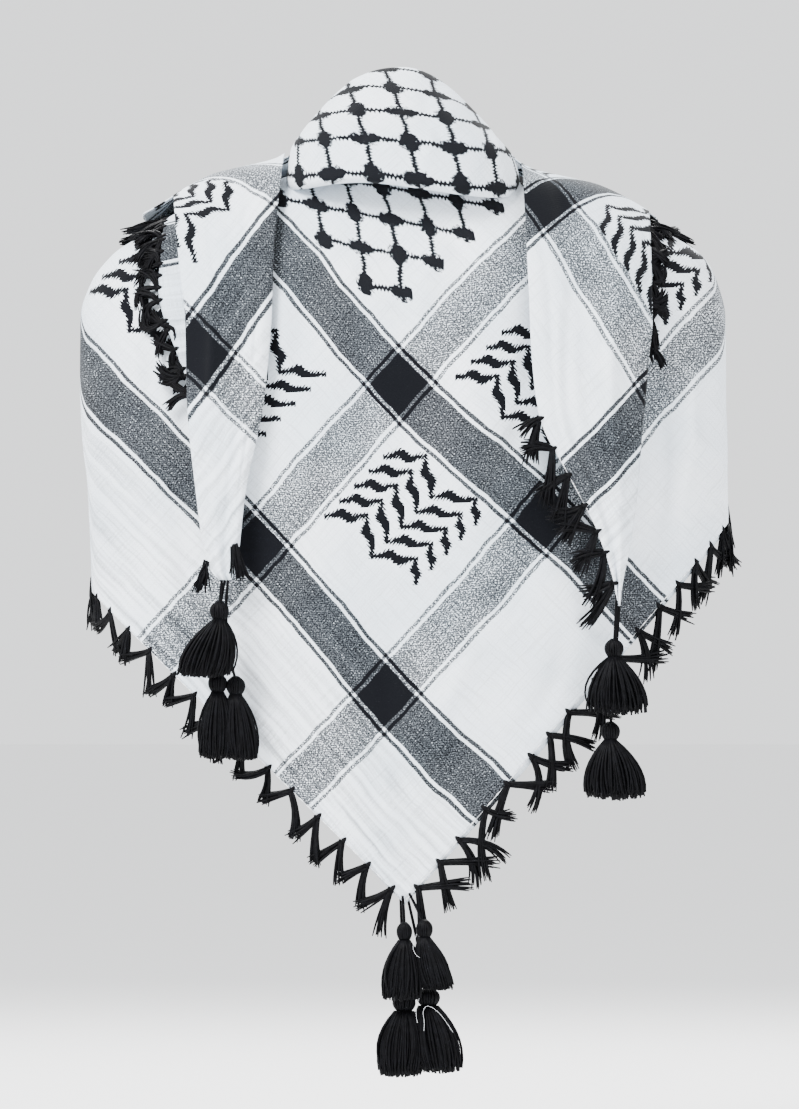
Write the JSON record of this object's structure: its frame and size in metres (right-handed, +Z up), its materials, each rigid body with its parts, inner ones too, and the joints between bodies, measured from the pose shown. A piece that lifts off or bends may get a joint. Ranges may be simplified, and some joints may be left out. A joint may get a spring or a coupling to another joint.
{
  "type": "keffiyeh headscarf",
  "caption": "Black and white woven cotton keffiyeh headscarf, folded on its diagonal and worn round the neck and shoulders, with a knotted black fringe and tassels.",
  "frame": {"origin": "the middle of the base of the neck, level with the tops of the shoulders, where the wearer holds the scarf up", "axes": "+Z up, +X to the right of someone who faces the wearer, -Y forward, towards them"},
  "size_m": [0.4939, 0.2809, 0.7577],
  "materials": {
    "cotton": "matte woven cotton, white with black traditional patterns",
    "inner_cotton": "matte woven cotton, the layers beneath",
    "black_yarn": "matte black cotton yarn"
  },
  "bodies": {
    "root": {"front_drape": "cotton", "under_drape": "inner_cotton", "left_wing": "cotton", "right_wing": "cotton", "neck_cowl": "cotton", "left_wrap": "cotton", "right_wrap": "cotton", "left_tail": "cotton", "right_tail": "cotton", "left_tail_under": "inner_cotton", "right_tail_under": "inner_cotton", "front_left_fringe": "black_yarn", "front_right_fringe": "black_yarn", "left_wing_fringe": "black_yarn", "right_wing_fringe": "black_yarn", "right_tail_fringe": "black_yarn", "left_under_fringe": "black_yarn", "right_under_fringe": "black_yarn", "left_wrap_fringe": "black_yarn", "right_wrap_fringe": "black_yarn", "left_tassel_1": "black_yarn", "left_tassel_2": "black_yarn", "left_tassel_3": "black_yarn", "right_tassel_1": "black_yarn", "right_tassel_2": "black_yarn", "tip_tassel_1": "black_yarn", "tip_tassel_2": "black_yarn", "tip_tassel_3": "black_yarn", "tip_tassel_4": "black_yarn"}
  },
  "joints": []
}
